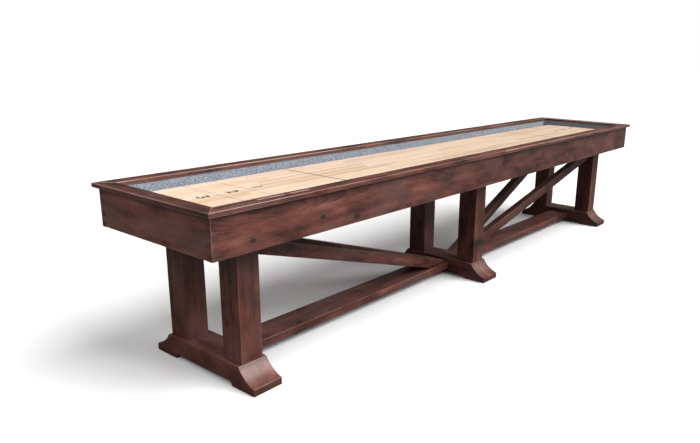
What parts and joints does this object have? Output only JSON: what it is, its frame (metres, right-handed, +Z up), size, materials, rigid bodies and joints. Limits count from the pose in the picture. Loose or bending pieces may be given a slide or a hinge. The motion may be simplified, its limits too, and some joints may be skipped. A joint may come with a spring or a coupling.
{
  "type": "shuffleboard table",
  "caption": "Long wooden shuffleboard table: maple playfield in a carpeted gutter, overhanging rail, trestles with shaped feet, diagonal braces and low stretchers.",
  "frame": {"origin": "on the floor, under the middle of the table", "axes": "+X along the table's length towards the right end seen from the front, +Y to the back, +Z up"},
  "size_m": [4.267, 0.822, 0.84],
  "materials": {
    "stained_wood": "dark red-brown stained knotty wood, satin lacquer, darker knots and blotches",
    "maple": "strip-laminated hard maple under a clear polymer gloss finish",
    "carpet": "speckled blue-grey short-pile carpet",
    "softwood": "planed framing timber, dark stain wash",
    "score_strip": "thin brushed nickel inlay",
    "black_steel": "black powder-coated steel angle",
    "zinc_steel": "bright zinc-plated steel"
  },
  "bodies": {
    "table": {"adjuster_bracket_left_back": "black_steel", "adjuster_bracket_left_front": "black_steel", "adjuster_bracket_middle_back": "black_steel", "adjuster_bracket_middle_front": "black_steel", "adjuster_bracket_right_back": "black_steel", "adjuster_bracket_right_front": "black_steel", "brace_left_back": "stained_wood", "brace_left_front": "stained_wood", "brace_right_back": "stained_wood", "brace_right_front": "stained_wood", "cross_support_left": "softwood", "cross_support_right": "softwood", "end_board_left": "stained_wood", "end_board_right": "stained_wood", "foot_left": "stained_wood", "foot_middle": "stained_wood", "foot_right": "stained_wood", "gutter_floor_back": "carpet", "gutter_floor_front": "carpet", "gutter_floor_left": "carpet", "gutter_floor_right": "carpet", "gutter_wall_back": "carpet", "gutter_wall_front": "carpet", "gutter_wall_left": "carpet", "gutter_wall_right": "carpet", "header_left": "softwood", "header_middle": "softwood", "header_right": "softwood", "playfield": "maple", "post_left_back": "stained_wood", "post_left_front": "stained_wood", "post_middle_back": "stained_wood", "post_middle_front": "stained_wood", "post_right_back": "stained_wood", "post_right_front": "stained_wood", "score_strip_1": "score_strip", "score_strip_2": "score_strip", "side_board_back_left": "stained_wood", "side_board_back_right": "stained_wood", "side_board_front_left": "stained_wood", "side_board_front_right": "stained_wood", "stretcher_left": "stained_wood", "stretcher_right": "stained_wood", "top_rail_back_left": "stained_wood", "top_rail_back_right": "stained_wood", "top_rail_front_left": "stained_wood", "top_rail_front_right": "stained_wood", "top_rail_left": "stained_wood", "top_rail_right": "stained_wood"},
    "leveler_left_front": {"leveler_left_front": "zinc_steel"},
    "leveler_left_back": {"leveler_left_back": "zinc_steel"},
    "leveler_middle_front": {"leveler_middle_front": "zinc_steel"},
    "leveler_middle_back": {"leveler_middle_back": "zinc_steel"},
    "leveler_right_front": {"leveler_right_front": "zinc_steel"},
    "leveler_right_back": {"leveler_right_back": "zinc_steel"},
    "adjuster_bolt_left": {"adjuster_bolt_left": "zinc_steel"},
    "adjuster_bolt_middle": {"adjuster_bolt_middle": "zinc_steel"},
    "adjuster_bolt_right": {"adjuster_bolt_right": "zinc_steel"}
  },
  "joints": [
    {"name": "leveler_left_front_screw", "type": "slide", "parent": "table", "child": "leveler_left_front", "axis": [0, 0, -1], "range_m": [0, 0.015]},
    {"name": "leveler_left_back_screw", "type": "slide", "parent": "table", "child": "leveler_left_back", "axis": [0, 0, -1], "range_m": [0, 0.015]},
    {"name": "leveler_middle_front_screw", "type": "slide", "parent": "table", "child": "leveler_middle_front", "axis": [0, 0, -1], "range_m": [0, 0.015]},
    {"name": "leveler_middle_back_screw", "type": "slide", "parent": "table", "child": "leveler_middle_back", "axis": [0, 0, -1], "range_m": [0, 0.015]},
    {"name": "leveler_right_front_screw", "type": "slide", "parent": "table", "child": "leveler_right_front", "axis": [0, 0, -1], "range_m": [0, 0.015]},
    {"name": "leveler_right_back_screw", "type": "slide", "parent": "table", "child": "leveler_right_back", "axis": [0, 0, -1], "range_m": [0, 0.015]},
    {"name": "adjuster_bolt_left_turn", "type": "hinge", "parent": "table", "child": "adjuster_bolt_left", "pos_m": [-1.384, 0, 0.6887], "axis": [0, 1, 0], "range_deg": [-180, 180]},
    {"name": "adjuster_bolt_middle_turn", "type": "hinge", "parent": "table", "child": "adjuster_bolt_middle", "pos_m": [-0.117, 0, 0.6887], "axis": [0, 1, 0], "range_deg": [-180, 180]},
    {"name": "adjuster_bolt_right_turn", "type": "hinge", "parent": "table", "child": "adjuster_bolt_right", "pos_m": [1.384, 0, 0.6887], "axis": [0, 1, 0], "range_deg": [-180, 180]}
  ]
}
